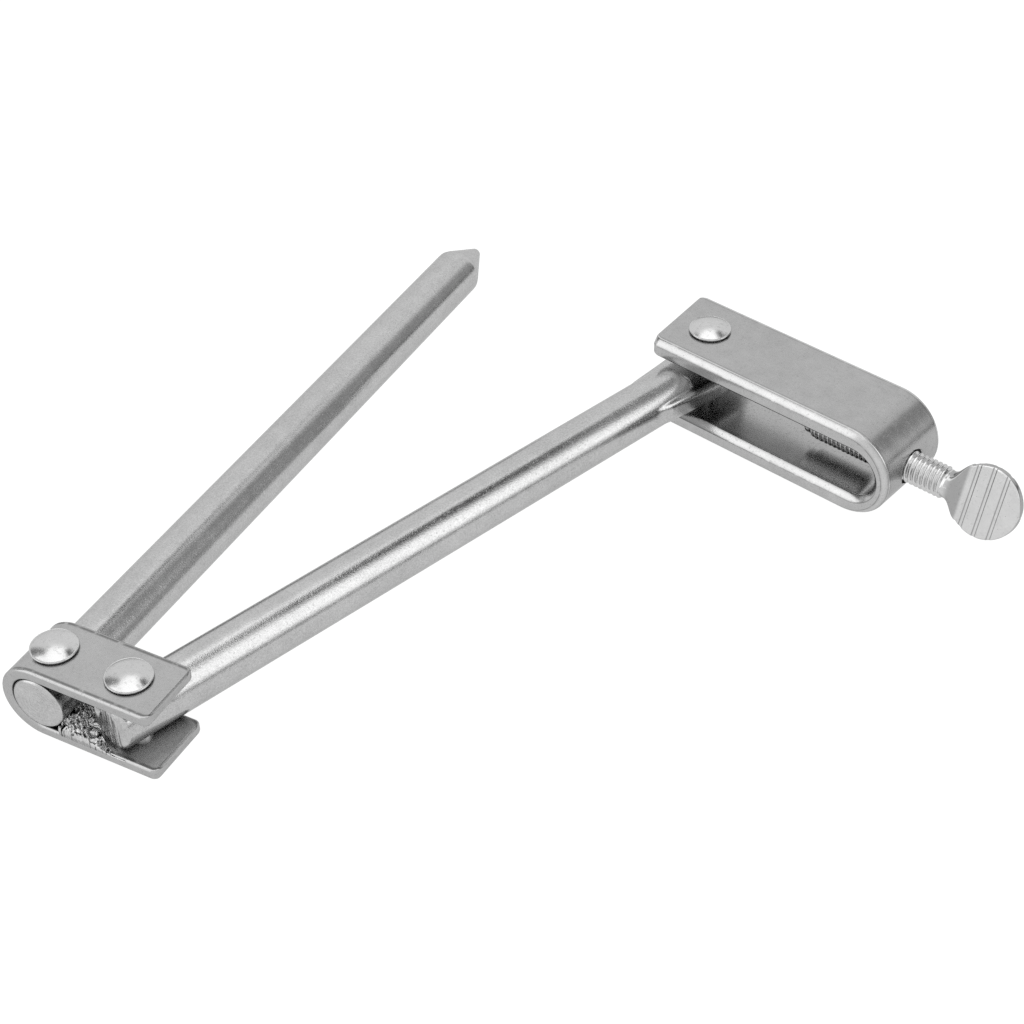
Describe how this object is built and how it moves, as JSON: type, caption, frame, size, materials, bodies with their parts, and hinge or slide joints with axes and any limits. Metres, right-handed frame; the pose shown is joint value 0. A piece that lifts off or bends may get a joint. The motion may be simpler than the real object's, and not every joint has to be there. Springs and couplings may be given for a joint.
{
  "type": "drawing compass",
  "caption": "Steel drawing compass: pointed round leg and hinged round leg in a folded head bracket, with a folded pencil clamp and thumb screw.",
  "frame": {"origin": "the point of the compass", "axes": "+Y out of the point along the point leg, +X towards the pencil leg, +Z along the rivets"},
  "size_m": [0.1093, 0.1208, 0.0176],
  "materials": {
    "strap": "zinc plated, satin",
    "rod": "nickel plated, finely pitted",
    "clamp_strap": "nickel plated, satin",
    "rivet": "polished",
    "screw": "bright zinc"
  },
  "bodies": {
    "head": {"head_bracket": "strap", "point_leg": "rod", "point_leg_rivet": "rivet", "hinge_rivet": "rivet"},
    "pencil_arm": {"pencil_leg": "rod"},
    "clamp": {"clamp_bracket": "clamp_strap", "clamp_rivet": "rivet"},
    "screw_end": {"screw_tip": "screw"},
    "screw": {"thumb_screw": "screw"}
  },
  "joints": [
    {"name": "leg_hinge", "type": "hinge", "parent": "head", "child": "pencil_arm", "pos_m": [0.012, -0.1155, 0], "axis": [0, 0, 1], "range_deg": [-160, 18.5]},
    {"name": "clamp_hinge", "type": "hinge", "parent": "pencil_arm", "child": "clamp", "pos_m": [0.04868, -0.01307, 0], "axis": [0, 0, 1], "range_deg": [-36, 110]},
    {"name": "screw_travel", "type": "slide", "parent": "clamp", "child": "screw_end", "axis": [0.9736, -0.2284, 0], "range_m": [-0.0054, 0.014]},
    {"name": "screw_turn", "type": "hinge", "parent": "screw_end", "child": "screw", "pos_m": [0.06776, -0.01754, 0], "axis": [0.9736, -0.2284, 0], "range_deg": [-2440, 6310]}
  ],
  "couplings": [
    {"joint": "screw_turn", "follows": "screw_travel", "rad_per_m": 7854}
  ]
}
